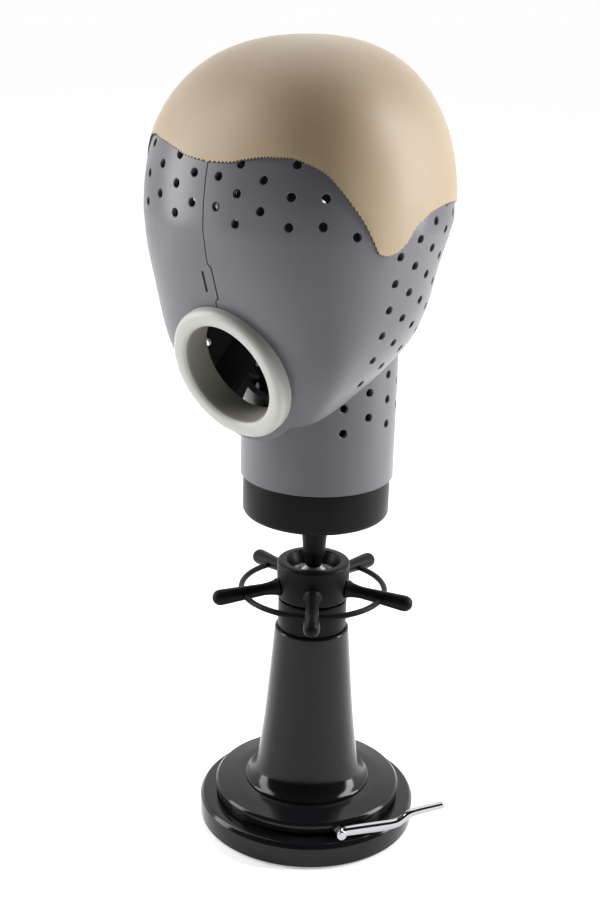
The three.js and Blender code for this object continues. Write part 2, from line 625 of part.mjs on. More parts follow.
// ---------------------------------------------------------------- base
function makeBase() {
  const { r, sillZ, roofZ, ledgeZ, skirt, edge, centreHole, ribInner, ribOuter } = BASE;
  const inside = r - skirt;
  const ribZ = PAD.thick + 0.4;
  const housing = solid(turned([
    [inside, sillZ], [r - 0.6, sillZ], [r, sillZ + 1],
    ...arc(r - edge, ledgeZ - edge, edge, 0, 90, 3),
    [centreHole, ledgeZ], [centreHole, roofZ], [ribInner, roofZ], [ribInner, ribZ], [ribOuter, ribZ],
    [ribOuter, roofZ], [inside, roofZ],
  ], 28));
  const screwHoles = screwPlaces.map((at) => solid(cylinder(SCREW.clearR, 10, 20, 12).translate(...at)));
  piece('base_housing', geometryOf(cutAll(housing, screwHoles)), FINISH.blackPlastic);

  const c = COVER;
  const wall = solid(turned([
    [c.r - 2, c.bottomZ], [c.r - 2, c.grooveZ], [c.r, c.grooveZ + 0.8],
    ...arc(c.r - 1.6, c.edgeZ - 1.6, 1.6, 0, 75, 3),
    [c.holeR, c.topZ], [c.holeR, c.topZ - c.wall],
    [c.r - c.wall - 2, c.edgeZ - c.wall], [c.r - c.wall - 2, c.bottomZ],
  ], 28));
  const shaftHole = solid(alongShaft(rod(CAM.shaftR + 0.4, 48, 62)));
  piece('base_cover', geometryOf(wall.subtract(shaftHole)), FINISH.blackPlastic);

  piece('suction_pad', turned([
    [0, 0], [PAD.r - 1, 0], [PAD.r, 1.2], [PAD.r - 0.4, PAD.thick], [PAD.bossR, PAD.thick],
    [PAD.bossR, PAD.bossZ], [0, PAD.bossZ],
  ], 28), FINISH.rubber);
}

// ---------------------------------------------------------------- suction lever and lift
function makeSuction() {
  const { z, shaftR, pinR, webR, webFrom, webTo, inner, squareR } = CAM;
  const end = LEVER.plane + LEVER.thick + 0.2;
  const crank = joinAll([
    rod(shaftR, webTo - 0.5, LEVER.plane - 0.3), rod(squareR, LEVER.plane - 1, end - 1.6, 6),
    rod(webR, webFrom, webTo), rod(webR, -webTo, -webFrom), rod(shaftR, inner, -webTo + 0.5),
    rod(pinR, -webFrom - 0.5, webFrom + 0.5, 12, z - CAM.throw),
  ].map((g) => solid(alongShaft(g))));
  piece('cam_shaft', geometryOf(crank), FINISH.steel);

  const { halfThick, rail, sidePlay, play } = YOKE;
  const slotHalf = pinR + CAM.throw + sidePlay;
  const slotRise = pinR + play;
  const pinZ = z - CAM.throw;
  const yoke = solid(block(
    [-halfThick, -slotHalf - rail, PAD.bossZ + GAP],
    [halfThick, slotHalf + rail, pinZ + slotRise + rail],
  ));
  const slot = solid(block([-5, -slotHalf, pinZ - slotRise], [5, slotHalf, pinZ + slotRise]));
  piece('lift_stud', alongShaft(geometryOf(yoke.subtract(slot))), FINISH.steel);

  const bearing = ([from, to]) => {
    const half = BEARING.halfWidth;
    const post = solid(block([from, -half, BASE.ledgeZ + GAP], [to, half, z + BEARING.rise]));
    const groove = block([from - 1, -shaftR - GAP, z], [to + 1, shaftR + GAP, z + 5]);
    return post.subtract(solid(rod(shaftR + GAP, from - 1, to + 1))).subtract(solid(groove));
  };
  piece('shaft_bearing_inner', alongShaft(geometryOf(bearing(BEARING.inner))), FINISH.nylon);
  piece('shaft_bearing_outer', alongShaft(geometryOf(bearing(BEARING.outer))), FINISH.nylon);

  const { hubR, tipAlong, tipRise, tipR, bevel } = LEVER;
  const outline = new THREE.Shape();                  // along the bar, and up from the shaft
  outline.absarc(0, 0, hubR, rad(95), rad(270), false);
  outline.lineTo(31, -hubR + 0.5);
  outline.quadraticCurveTo(37, -2.8, 41, 0.4);
  outline.quadraticCurveTo(45, 3.6, 50, 4.1);
  outline.absarc(tipAlong, tipRise, tipR, rad(-85), rad(95), false);
  outline.lineTo(48, 8.2);
  outline.quadraticCurveTo(43, 7.7, 39.5, 5.4);
  outline.quadraticCurveTo(35, 2.9, 30, 2.7);
  const plate = new THREE.ExtrudeGeometry(outline, {
    depth: LEVER.thick - 2 * bevel, bevelEnabled: true, bevelSize: bevel, bevelOffset: -bevel,
    bevelThickness: bevel, bevelSegments: 1, curveSegments: 4,
  });
  plate.translate(0, 0, bevel).rotateX(Math.PI / 2).rotateZ(Math.PI / 2);
  const lever = solid(alongShaft(plate.translate(LEVER.plane, 0, z)));
  const square = solid(alongShaft(rod(squareR + GAP, LEVER.plane - 2, end + 2, 6)));
  piece('suction_lever', geometryOf(lever.subtract(square)), FINISH.chrome);
  const cap = cylinder(LEVER_CAP.r, 0, LEVER_CAP.thick, 16).rotateY(Math.PI / 2).translate(end + 0.1, 0, z);
  piece('lever_screw', alongShaft(cap), FINISH.chrome);
}

makeShells();
makeScalp();
makeNozzleRing();
makeNeck();
makeStem();
makeClamp();
makeColumn();
makeBase();
makeSuction();

export default object;
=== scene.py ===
"""Perforated training head for drying and dressing wigs, on a ball-jointed suction stand: the visual model.

Every visible piece is built here, in metres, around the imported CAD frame. Lengths in the helpers are
millimetres, as in the design, and become metres when a mesh is made.
"""

import json
import math

import bmesh
import bpy
import numpy as np
from mathutils import Matrix, Vector


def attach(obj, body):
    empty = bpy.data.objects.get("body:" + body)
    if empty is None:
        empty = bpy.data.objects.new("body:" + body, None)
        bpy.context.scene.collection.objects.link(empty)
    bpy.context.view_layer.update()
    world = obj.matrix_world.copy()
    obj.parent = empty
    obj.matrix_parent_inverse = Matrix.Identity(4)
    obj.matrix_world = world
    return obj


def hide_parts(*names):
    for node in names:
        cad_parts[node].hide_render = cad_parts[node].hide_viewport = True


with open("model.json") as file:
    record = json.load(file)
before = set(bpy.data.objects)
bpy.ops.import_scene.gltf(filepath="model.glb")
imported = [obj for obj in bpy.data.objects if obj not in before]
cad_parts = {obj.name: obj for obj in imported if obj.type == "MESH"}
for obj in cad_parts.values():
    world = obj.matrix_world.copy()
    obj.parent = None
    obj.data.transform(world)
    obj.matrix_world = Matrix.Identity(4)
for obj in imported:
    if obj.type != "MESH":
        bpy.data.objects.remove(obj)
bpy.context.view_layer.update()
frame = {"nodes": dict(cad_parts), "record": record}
MM = 0.001
UP = np.array([0.0, 0.0, 1.0])

# ------------------------------------------------------------------ driving dimensions, millimetres
FORM = dict(wide=379.0, crown=471.0, dome=2.37, crown_y=-12.0)
HALF_WIDTH = [(240, 34), (258, 36), (270, 40), (301, 60), (322, 69), (343, 75), (379, 82.3)]
FACE_REACH = [(240, 53), (258, 58.5), (301, 71.5), (343, 86.5), (363, 92.5), (379, 95.5)]
NAPE_REACH = [(300, 44.4), (322, 44.4), (343, 45.2), (379, 65.6)]
MIDDLE_Y = [(270, -41.3), (301, -44.5), (343, -24), (379, -21.7)]
FACE_POWER = [(301, 3.4), (379, 2.5)]          # above 2: a broad, flat face
NAPE_POWER = [(290, 1.6), (322, 2.3), (379, 1.97)]
HAIRLINE = [
    (0, 413.4), (7, 414.4), (13, 416.6), (24, 418.9), (32, 419), (40, 416.3), (47, 412.5), (53.5, 405),
    (60, 395.5), (64.7, 387.7), (69, 378.5), (73, 372.6), (77, 371.3), (81, 372.5), (84, 376), (87, 382.5),
    (90, 386.7), (97, 390.5), (107, 391.9), (122, 390), (180, 386),
]
RIGHT_TEMPLE = dict(turn=-50.0, spread=16.0, rise=5.5)
JAW = dict(y=-62.0, z=269.0, slope=math.radians(30.5))
CHIN = dict(r=43.0, back=-13.9)                # round boss behind the mouth ring, below the jaw plane
WALL = 2.6
SEAM = 0.7
TAB = dict(x=2.4, low=341.5, high=360.0, gap=1.0)
SLOT = dict(x=-4.8, width=1.7, low=345.0, high=356.5)
VENT_R = 2.3
VENT_CHAMFER = 0.35
MOUTH = dict(y=-71.8, z=300.5, tilt=math.radians(18.5))
RING = dict(r=38.6, bore=28.9, barrel_r=32.7, crest=6.6, skirt=8.0, barrel=11.2)
NECK = dict(r=44.4, bore=41.4, low=225.9, spigot_r=38.0)
HUB = dict(r=21.6, bore=18.9, low=147.5, roof=162.8, top=170.0)
RIM = dict(r=42.7, wire=1.75, room=1.95, z=151.9)
ARM = dict(count=5, root_z=154.5, tip_z=151.2, tip_r=4.75, reach=57.7, first=40, step=72)
LEVER_AZIMUTH = math.radians(60)
CAM_Z = 19.7
VIEW_AZIMUTH = math.radians(40)                # the camera's direction, from -Y towards +X


# ------------------------------------------------------------------ curves and profiles
def smooth(points):
    """Monotone cubic through (height, value) pairs, as the design uses it."""
    xs, ys = np.array(points, float).T
    chord = np.diff(ys) / np.diff(xs)
    total = chord[:-1] + chord[1:]
    product = chord[:-1] * chord[1:]
    inner = np.where(product <= 0, 0.0, 2 * product / np.where(total == 0, 1, total))
    slope = np.concatenate([[chord[0]], inner, [chord[-1]]])

    def value(x):
        x = np.asarray(x, float)
        i = np.clip(np.searchsorted(xs, x, side="right") - 1, 0, len(xs) - 2)
        h = xs[i + 1] - xs[i]
        t = np.clip((x - xs[i]) / h, 0, 1)
        return (ys[i] * (1 + 2 * t) * (1 - t) ** 2 + slope[i] * h * t * (1 - t) ** 2
                + ys[i + 1] * t * t * (3 - 2 * t) + slope[i + 1] * h * t * t * (t - 1))
    return value


half_width, face_reach, nape_reach = smooth(HALF_WIDTH), smooth(FACE_REACH), smooth(NAPE_REACH)
middle_y, face_power, nape_power = smooth(MIDDLE_Y), smooth(FACE_POWER), smooth(NAPE_POWER)
hairline_knots = smooth(HAIRLINE)


def hairline(turn):
    """Height of the scalp cover's edge, higher over the head's own right temple, at -X."""
    lift = RIGHT_TEMPLE["rise"] * np.exp(-((turn - RIGHT_TEMPLE["turn"]) / RIGHT_TEMPLE["spread"]) ** 2)
    return hairline_knots(np.abs(turn)) + lift


def arc(cr, cz, radius, start, end, steps=8):
    """Points of an arc in the (r, z) plane, angles in degrees."""
    angles = np.radians(np.linspace(start, end, steps + 1))
    return [(cr + radius * math.cos(a), cz + radius * math.sin(a)) for a in angles]


def rounded(corners, steps=5):
    """A closed outline of (r, z) or (r, z, fillet) corners with its fillets drawn as arcs."""
    out = []
    n = len(corners)
    for i, corner in enumerate(corners):
        p = np.array(corner[:2], float)
        fillet = corner[2] if len(corner) > 2 else 0
        if not fillet:
            out.append(tuple(p))
            continue
        a = np.array(corners[i - 1][:2], float) - p
        b = np.array(corners[(i + 1) % n][:2], float) - p
        la, lb = np.linalg.norm(a), np.linalg.norm(b)
        a, b = a / la, b / lb
        half = math.acos(max(-1, min(1, float(a @ b)))) / 2
        reach = min(fillet / math.tan(half), 0.49 * la, 0.49 * lb)
        radius = reach * math.tan(half)
        centre = p + (a + b) / np.linalg.norm(a + b) * radius / math.sin(half)
        start, end = p + a * reach - centre, p + b * reach - centre
        sweep = math.pi - 2 * half
        for k in range(steps + 1):
            t = k / steps
            v = (math.sin((1 - t) * sweep) * start + math.sin(t * sweep) * end) / math.sin(sweep)
            out.append(tuple(centre + v))
    return out


# ------------------------------------------------------------------ mesh helpers
def make(name, points, faces):
    """A mesh object from millimetre points and faces, with its faces turned outward."""
    mesh = bpy.data.meshes.new(name)
    mesh.from_pydata((np.asarray(points, float) * MM).tolist(), [], [tuple(f) for f in faces])
    bm = bmesh.new()
    bm.from_mesh(mesh)
    bmesh.ops.remove_doubles(bm, verts=bm.verts, dist=1e-7)
    bmesh.ops.dissolve_degenerate(bm, dist=1e-8, edges=bm.edges)
    bmesh.ops.recalc_face_normals(bm, faces=bm.faces)
    bm.to_mesh(mesh)
    bm.free()
    obj = bpy.data.objects.new(name, mesh)
    bpy.context.scene.collection.objects.link(obj)
    return obj


def shade(obj, angle=35):
    """Smooth shading with edges sharper than the angle kept."""
    obj.data.shade_smooth()
    obj.data.set_sharp_from_angle(angle=math.radians(angle))
    return obj


def grid_faces(rows, columns):
    """Quads of a rows by columns grid of points, closed round the columns."""
    faces = []
    for i in range(rows - 1):
        for j in range(columns):
            k = (j + 1) % columns
            faces.append((i * columns + j, i * columns + k, (i + 1) * columns + k, (i + 1) * columns + j))
    return faces


def lathe_data(profile, segments=96):
    """Points and faces of a solid turned about Z; its (r, z) points close on themselves or on the axis."""
    profile = np.array(profile, float)
    on_axis = profile[0, 0] < 1e-6 and profile[-1, 0] < 1e-6
    turns = 2 * np.pi * np.arange(segments) / segments
    r, z = profile[:, 0][:, None], profile[:, 1][:, None]
    points = np.stack([r * np.cos(turns), r * np.sin(turns), z + 0 * turns], -1).reshape(-1, 3)
    faces = grid_faces(len(profile), segments)
    if not on_axis:
        base = (len(profile) - 1) * segments
        for j in range(segments):
            k = (j + 1) % segments
            faces.append((base + j, base + k, k, j))
    return points, faces


def lathe(name, profile, segments=96, angle=35):
    return shade(make(name, *lathe_data(profile, segments)), angle)


def placed(points, matrix):
    """Points moved by a 4x4 matrix given in millimetres."""
    points = np.asarray(points, float)
    m = np.array(matrix)
    return points @ m[:3, :3].T + m[:3, 3]


def boolean(obj, cutter, operation="DIFFERENCE"):
    """Cuts or joins obj with cutter, and removes the cutter."""
    modifier = obj.modifiers.new("cut", "BOOLEAN")
    modifier.operation = operation
    modifier.solver = "MANIFOLD"
    modifier.object = cutter
    graph = bpy.context.evaluated_depsgraph_get()
    mesh = bpy.data.meshes.new_from_object(obj.evaluated_get(graph))
    obj.modifiers.remove(modifier)
    old = obj.data
    obj.data = mesh
    bpy.data.meshes.remove(old)
    bpy.data.objects.remove(cutter)
    return obj


def merged(name, parts):
    """One object from several (points, faces) lists."""
    points, faces, base = [], [], 0
    for p, f in parts:
        points.append(np.asarray(p, float))
        faces += [tuple(i + base for i in face) for face in f]
        base += len(p)
    return make(name, np.concatenate(points), faces)


def box_data(low, high):
    (x0, y0, z0), (x1, y1, z1) = low, high
    points = [(x, y, z) for z in (z0, z1) for y in (y0, y1) for x in (x0, x1)]
    faces = [(0, 2, 3, 1), (4, 5, 7, 6), (0, 1, 5, 4), (2, 6, 7, 3), (0, 4, 6, 2), (1, 3, 7, 5)]
    return points, faces


def surface_normals(obj, normal_at, limit=0.8, angle=35):
    """Gives the corners that lie on a known smooth surface that surface's own normals."""
    shade(obj, angle)
    mesh = obj.data
    corners = np.zeros(len(mesh.loops) * 3)
    mesh.corner_normals.foreach_get("vector", corners)
    corners = corners.reshape(-1, 3)
    vertex_of = np.zeros(len(mesh.loops), int)
    mesh.loops.foreach_get("vertex_index", vertex_of)
    co = np.zeros(len(mesh.vertices) * 3)
    mesh.vertices.foreach_get("co", co)
    known = normal_at(co.reshape(-1, 3) / MM)[vertex_of]
    flat = np.zeros(len(mesh.polygons) * 3)
    mesh.polygons.foreach_get("normal", flat)
    sizes = np.zeros(len(mesh.polygons), int)
    mesh.polygons.foreach_get("loop_total", sizes)
    flat = np.repeat(flat.reshape(-1, 3), sizes, axis=0)
    dots = np.einsum("ij,ij->i", flat, known)
    out = np.where((dots > limit)[:, None], known, np.where((dots < -limit)[:, None], -known, corners))
    mesh.normals_split_custom_set(out.tolist())
    return obj


# ------------------------------------------------------------------ the head's form
def section(z):
    """Half width, front depth, back depth, middle, face power and nape power of the head at heights z."""
    z = np.asarray(z, float)
    low = np.minimum(z, FORM["wide"])
    u = np.clip((z - FORM["wide"]) / (FORM["crown"] - FORM["wide"]), 0, 1 - 1e-9)
    s = (1 - u ** FORM["dome"]) ** (1 / FORM["dome"])
    middle = middle_y(low)
    front, back = (face_reach(low) + middle) * s, (nape_reach(low) - middle) * s
    mid = FORM["crown_y"] + (middle - FORM["crown_y"]) * s
    return half_width(low) * s, front, back, mid, face_power(low), nape_power(low)


def head_point(turn, z):
    """Points of the surface: turn is 0 at the face, pi at the nape, positive towards +X."""
    turn, z = np.broadcast_arrays(np.asarray(turn, float), np.asarray(z, float))
    w, front, back, mid, face, nape = section(z)
    c, s = np.cos(turn), np.sin(turn)
    power = 2 / np.where(c > 0, face, nape)
    x = w * np.sign(s) * np.abs(s) ** power
    y = mid + np.abs(c) ** power * np.where(c > 0, -front, back)
    return np.stack([x, y, z], -1)


def level(points):
    """Implicit form of the head: 1 on its surface."""
    x, y, z = np.moveaxis(np.asarray(points, float), -1, 0)
    z = np.minimum(z, FORM["crown"] - 0.02)
    w, front, back, mid, face, nape = section(z)
    ahead = y < mid
    n = np.where(ahead, face, nape)
    return ((np.abs(x) / w) ** n + (np.abs(y - mid) / np.where(ahead, front, back)) ** n) ** (1 / n)


def head_slope(points, step=0.05):
    """Gradient of the implicit form."""
    p = np.asarray(points, float)
    return np.stack([level(p + step * e) - level(p - step * e) for e in np.eye(3)], -1) / (2 * step)


def head_normal(points):
    """Outward normals of the head's surface at points on or near it."""
    grad = head_slope(points)
    size = np.linalg.norm(grad, axis=-1, keepdims=True)
    return np.where(size > 1e-12, grad / np.maximum(size, 1e-12), UP)


def head_distance(points):
    """Rough signed distance of points from the head's surface."""
    return (level(points) - 1) / np.maximum(np.linalg.norm(head_slope(points), axis=-1), 1e-6)


def head_offset(turn, z, distance):
    p = head_point(turn, z)
    return p + head_normal(p) * np.asarray(distance, float)[..., None]


def jaw_height(points):
    """Distance above the inclined plane of the jaw's underside."""
    p = np.asarray(points, float)
    return (p[..., 2] - JAW["z"]) * math.cos(JAW["slope"]) - (p[..., 1] - JAW["y"]) * math.sin(JAW["slope"])


def solve_height(turns, distance, target):
    """Heights where the offset surface is a given distance above the jaw plane."""
    low, high = np.full(len(turns), 252.0), np.full(len(turns), 350.0)
    for _ in range(40):
        middle = (low + high) / 2
        above = jaw_height(head_offset(turns, middle, np.full(len(turns), distance))) > target
        high, low = np.where(above, middle, high), np.where(above, low, middle)
    return (low + high) / 2


def head_form(name, distance, around=192, side=36, dome=36):
    """The head's form grown by a distance, as one closed solid."""
    turns = 2 * np.pi * np.arange(around) / around
    heights = np.concatenate([
        np.linspace(252, FORM["wide"], side, endpoint=False),
        FORM["wide"] + (FORM["crown"] - FORM["wide"]) * np.sin(np.pi / 2 * np.arange(dome) / dome)])
    rows = [head_offset(turns, np.full(around, z), np.full(around, distance)) for z in heights]
    bottom = np.tile([[0, float(middle_y(252)), rows[0][0, 2]]], (around, 1))
    top = np.tile([[0, FORM["crown_y"], FORM["crown"] + distance]], (around, 1))
    points = np.concatenate([bottom, *rows, top])
    return make(name, points, grid_faces(len(rows) + 2, around))


# ------------------------------------------------------------------ vents
FRONT_VENTS = [
    (8.4, (407, 392)), (21.2, (414.4, 400, 385)), (35.3, (408, 392.8)),
    (49.7, (416.5, 401, 386.2)), (63.5, (401, 387.2)), (74.1, (382,)),
]
SIDE_VENTS = dict(first=-34.5, step=13.75, first_z=369.1, step_z=7.7, rising=3, pitch=14.3, rows=6, count=7)
NECK_VENTS = dict(first=58.4, step=20.6, first_z=277.0, step_z=7.4, rising=2, pitch=14.3, count=5)


def jaw_z(y):
    """Height of the jaw plane behind the face."""
    return JAW["z"] + (y - JAW["y"]) * math.tan(JAW["slope"])


def column_top(vents, i):
    """Height of the top vent of a column: rising for the first few columns, then staggered."""
    over = i - vents["rising"]
    stagger = vents["step_z"] if over > 0 and over % 2 else 0
    return vents["first_z"] + vents["step_z"] * min(i, vents["rising"]) - stagger


def turn_at(axis, value, z, low, high):
    """Turn at which the surface at a height has the given x or y."""
    rising = head_point(high, z)[axis] > head_point(low, z)[axis]
    for _ in range(40):
        middle = (low + high) / 2
        if (head_point(middle, z)[axis] < value) == rising:
            low = middle
        else:
            high = middle
    return (low + high) / 2


def head_vents():
    """Turn and height of each vent in one side of the head."""
    places = [(turn_at(0, x, z, 0, math.pi / 2), z) for x, heights in FRONT_VENTS for z in heights]
    v = SIDE_VENTS
    for i in range(v["count"]):
        y = v["first"] + v["step"] * i
        for k in range(v["rows"]):
            z = column_top(v, i) - v["pitch"] * k
            if z > jaw_z(y) + 9 and y < float(nape_reach(z)) - 3:
                places.append((turn_at(1, y, z, 0.2, math.pi), z))
    return places


def vent_data(point, normal, depth=6.0):
    """A chamfered drill for one vent, along the surface's normal."""
    flare = VENT_R + VENT_CHAMFER + 1.5
    profile = [(0, -depth), (VENT_R, -depth), (VENT_R, -VENT_CHAMFER), (flare, 1.5), (0, 1.5)]
    points, faces = lathe_data(profile, 20)
    spin = Vector((0, 0, 1)).rotation_difference(Vector(normal)).to_matrix()
    return points @ np.array(spin).T + np.asarray(point), faces


def head_vent_cutter():
    parts = []
    for turn, z in head_vents():
        for side in (1, -1):
            point = head_point(side * turn, z)
            parts.append(vent_data(point, head_normal(point)))
    return merged("vent_cutter", parts)


def neck_vent_cutter():
    v = NECK_VENTS
    parts = []
    for i in range(v["count"]):
        turn = math.radians(v["first"] + v["step"] * i)
        out = np.array([math.sin(turn), -math.cos(turn), 0])
        z = column_top(v, i)
        while z > 259.6:
            if z < jaw_z(NECK["r"] * out[1]) - 7:
                for side in (1, -1):
                    normal = out * (side, 1, 1)
                    parts.append(vent_data(normal * NECK["r"] + (0, 0, z), normal))
            z -= v["pitch"]
    return merged("neck_vent_cutter", parts)


def onto_mouth(points):
    """Points made along +Z moved onto the mouth's axis, +Z pointing out of the face."""
    turn = Matrix.Rotation(math.pi / 2 + MOUTH["tilt"], 4, "X")
    move = Matrix.Translation((0, MOUTH["y"], MOUTH["z"]))
    return placed(points, move @ turn)


def mouth_radius(point):
    """Distance of a point, in metres, from the mouth's axis."""
    turn = Matrix.Rotation(math.pi / 2 + MOUTH["tilt"], 3, "X")
    away = Vector(point) - Vector((0, MOUTH["y"], MOUTH["z"])) / 1000
    return (away - away.project(turn @ Vector((0, 0, 1)))).length


# ------------------------------------------------------------------ head shells
def shell_solid(around=288):
    """Both half shells as one thick-walled solid with a rounded jaw edge and an open neck hole."""
    turns = 2 * np.pi * np.arange(around) / around
    hole = NECK["spigot_r"] + 0.3
    slope = JAW["slope"]

    def plane_point(xy, lift):
        z = jaw_z(xy[:, 1]) + lift / math.cos(slope)
        return np.column_stack([xy, z])

    rows = [np.tile([[0, FORM["crown_y"], FORM["crown"]]], (around, 1))]
    crown, wide = FORM["crown"], FORM["wide"]
    dome = [wide + (crown - wide) * math.sin(math.pi / 2 * k / 30) for k in range(29, -1, -1)]
    rows += [head_point(turns, z) for z in dome]

    edge_z = solve_height(turns, 0.0, 0.0)
    edge = head_point(turns, edge_z)
    up = head_point(turns, edge_z + 1) - edge
    up /= np.linalg.norm(up, axis=1, keepdims=True)
    radial = edge[:, :2] / np.linalg.norm(edge[:, :2], axis=1, keepdims=True)
    inward = plane_point(radial * (hole + 2), 0) - plane_point(radial * (hole + 3), 0)
    inward /= np.linalg.norm(inward, axis=1, keepdims=True)
    half = np.arccos(np.clip((up * inward).sum(1), -1, 1)) / 2
    room = np.linalg.norm(edge[:, :2], axis=1) - hole
    radius = np.clip((room - 5) * 0.45 + 1.2, 1.2, 5.0)
    reach = radius / np.tan(half)
    start_z = edge_z + reach * up[:, 2]
    for t in np.linspace(0, 1, 44)[1:]:
        rows.append(head_point(turns, wide + (start_z - wide) * t))
    between = (up + inward) / np.linalg.norm(up + inward, axis=1, keepdims=True)
    centre = edge + between * (radius / np.sin(half))[:, None]
    first = rows[-1] - centre
    last = edge + inward * reach[:, None] - centre
    sweep = (np.pi - 2 * half)[:, None]
    for t in np.linspace(0, 1, 9)[1:]:
        rows.append(centre + (np.sin((1 - t) * sweep) * first + np.sin(t * sweep) * last) / np.sin(sweep))
    floor_start = rows[-1][:, :2]
    rim = radial * hole
    for t in np.linspace(0, 1, 4)[1:]:
        rows.append(plane_point(floor_start + (rim - floor_start) * t, 0))

    inner_z = solve_height(turns, -WALL, WALL)
    inner_edge = head_offset(turns, inner_z, np.full(around, -WALL))
    for t in np.linspace(0, 1, 4)[:-1]:
        rows.append(plane_point(rim + (inner_edge[:, :2] - rim) * t, WALL))
    for t in np.linspace(0, 1, 24):
        rows.append(head_offset(turns, inner_z + (wide - inner_z) * t, np.full(around, -WALL)))
    for k in range(1, 20):
        z = wide + (crown - wide) * math.sin(math.pi / 2 * k / 20)
        rows.append(head_offset(turns, np.full(around, z), np.full(around, -WALL)))
    rows.append(np.tile([[0, FORM["crown_y"], crown - WALL]], (around, 1)))
    return make("head_shells", np.concatenate(rows), grid_faces(len(rows), around))


def seam_cutter():
    """A thin wall down the face and over the crown that parts the halves, stepping round the snap tab."""
    half, wide = SEAM / 2, TAB["gap"] / 2
    x, low, high = TAB["x"], TAB["low"], TAB["high"]
    slant = 1.2
    left = [(-half, 500), (-half, high + slant), (x - wide, high - slant), (x - wide, low + slant),
            (-half, low - slant), (-half, 200)]
    right = [(half, 200), (half, low - slant + wide), (x + wide, low + slant - wide),
             (x + wide, high - slant + wide), (half, high + slant + wide), (half, 500)]
    outline = left + right
    n = len(outline)
    points = [(px, -130, pz) for px, pz in outline] + [(px, -40, pz) for px, pz in outline]
    faces = [tuple(range(n)), tuple(range(2 * n - 1, n - 1, -1))]
    faces += [(i, i + n, (i + 1) % n + n, (i + 1) % n) for i in range(n)]
    return make("seam_cutter", points, faces)


def separate(obj, names):
    """Splits an object's loose parts by the sign of their middle x, and names them."""
    bm = bmesh.new()
    bm.from_mesh(obj.data)
    seen, islands = set(), []
    for v in bm.verts:
        if v.index in seen:
            continue
        stack, island = [v], []
        seen.add(v.index)
        while stack:
            p = stack.pop()
            island.append(p.index)
            for e in p.link_edges:
                q = e.other_vert(p)
                if q.index not in seen:
                    seen.add(q.index)
                    stack.append(q)
        islands.append(island)
    bm.free()
    islands = sorted(islands, key=len)[-2:]
    co = np.array([v.co for v in obj.data.vertices])
    islands.sort(key=lambda island: co[island, 0].mean())
    made = []
    for name, island in zip(names, islands):
        keep = set(island)
        bm = bmesh.new()
        bm.from_mesh(obj.data)
        bmesh.ops.delete(bm, geom=[v for v in bm.verts if v.index not in keep], context="VERTS")
        mesh = bpy.data.meshes.new(name)
        bm.to_mesh(mesh)
        bm.free()
        half = bpy.data.objects.new(name, mesh)
        bpy.context.scene.collection.objects.link(half)
        made.append(half)
    bpy.data.objects.remove(obj)
    return made


def mouth_cylinder(name, radius, low, high, segments=128):
    points, faces = lathe_data([(0, low), (radius, low), (radius, high), (0, high)], segments)
    return make(name, onto_mouth(points), faces)


def below_jaw(name, lift):
    """A block of everything below the jaw plane moved up by a distance."""
    points, faces = box_data((-200, -200, -300), (200, 200, lift))
    tilt = Matrix.Translation((0, JAW["y"], JAW["z"])) @ Matrix.Rotation(JAW["slope"], 4, "X")
    return make(name, placed(points, tilt), faces)


def chin_boss(name, radius, back, distance, lift):
    """The part of the head form inside the mouth's cylinder, up to a little over the jaw plane."""
    boss = head_form(name, distance)
    boolean(boss, mouth_cylinder("boss_round", radius, back, 40), "INTERSECT")
    return boolean(boss, below_jaw("boss_top", lift), "INTERSECT")


def shell_normals(points):
    """The head's own normals where points lie on the shell's outer or inner face, else nothing."""
    distance = head_distance(points)
    on_face = (np.abs(distance) < 0.08) | (np.abs(distance + WALL) < 0.5)
    return np.where(on_face[:, None], head_normal(points), 0.0)


def make_shells():
    shells = shell_solid()
    boolean(shells, chin_boss("chin", CHIN["r"], CHIN["back"], -0.03, 9), "UNION")
    boolean(shells, chin_boss("chin_room", CHIN["r"] - WALL, CHIN["back"] + WALL, -WALL - 0.03, 9))
    boolean(shells, mouth_cylinder("mouth_cutter", RING["barrel_r"] + 0.3, -30, 30))
    boolean(shells, head_vent_cutter())
    half = SLOT["width"] / 2
    slot = box_data((SLOT["x"] - half, -110, SLOT["low"]), (SLOT["x"] + half, -60, SLOT["high"]))
    boolean(shells, make("slot_cutter", *slot))
    boolean(shells, seam_cutter())
    back = box_data((-SEAM / 2, -41, 200), (SEAM / 2, 130, 500))
    boolean(shells, make("back_seam_cutter", *back))
    halves = separate(shells, ("shell_right", "shell_left"))
    for piece, node in zip(halves, ("head_shell_right", "head_shell_left")):
        surface_normals(piece, shell_normals)
        finish_piece(piece, "grey_shell", "head", node)


# ------------------------------------------------------------------ scalp cover
def make_scalp(teeth=264, per_tooth=5, rows=34):
    """Thin cover stretched over the dome, its edge cut with pinking shears."""
    around = teeth * per_tooth
    turns = 2 * np.pi * np.arange(around) / around
    degrees = (np.degrees(turns) + 180) % 360 - 180
    phase = np.arange(around) % per_tooth / per_tooth
    notch = 0.55 * (1 - 2 * np.abs(2 * phase - 1))
    edge = hairline(degrees)
    crown = FORM["crown"]

    def layer(distance, taper):
        out = []
        for i in range(rows):
            t = i / rows
            share = math.sin(math.pi / 2 * t ** 1.15)
            z = edge + notch * (1 - t) ** 12 + (crown - edge) * share
            rise = distance - taper * math.exp(-((t * rows) ** 2) / 1.5)
            out.append(head_offset(turns, z, np.full(around, rise)))
        out.append(np.tile([[0, FORM["crown_y"], crown + distance]], (around, 1)))
        return out

    outer = layer(1.25, 0.25)
    inner = layer(0.15, 0.0)[::-1]
    points = np.concatenate(inner + outer)
    cover = make("scalp_cover_skin", points, grid_faces(len(inner) + len(outer), around))
    shade(cover, 50)
    finish_piece(cover, "scalp_leather", "head", "scalp_cover")
    # Painted shadow: the cut faces round the pinked edge are dark brown, standing in for the shadow line under
    # the cover's edge.
    cover.data.materials.append(MATERIALS["painted_edge_shadow"])
    rim = (len(inner) - 1) * around
    for face in cover.data.polygons[rim:rim + around]:
        face.material_index = 1


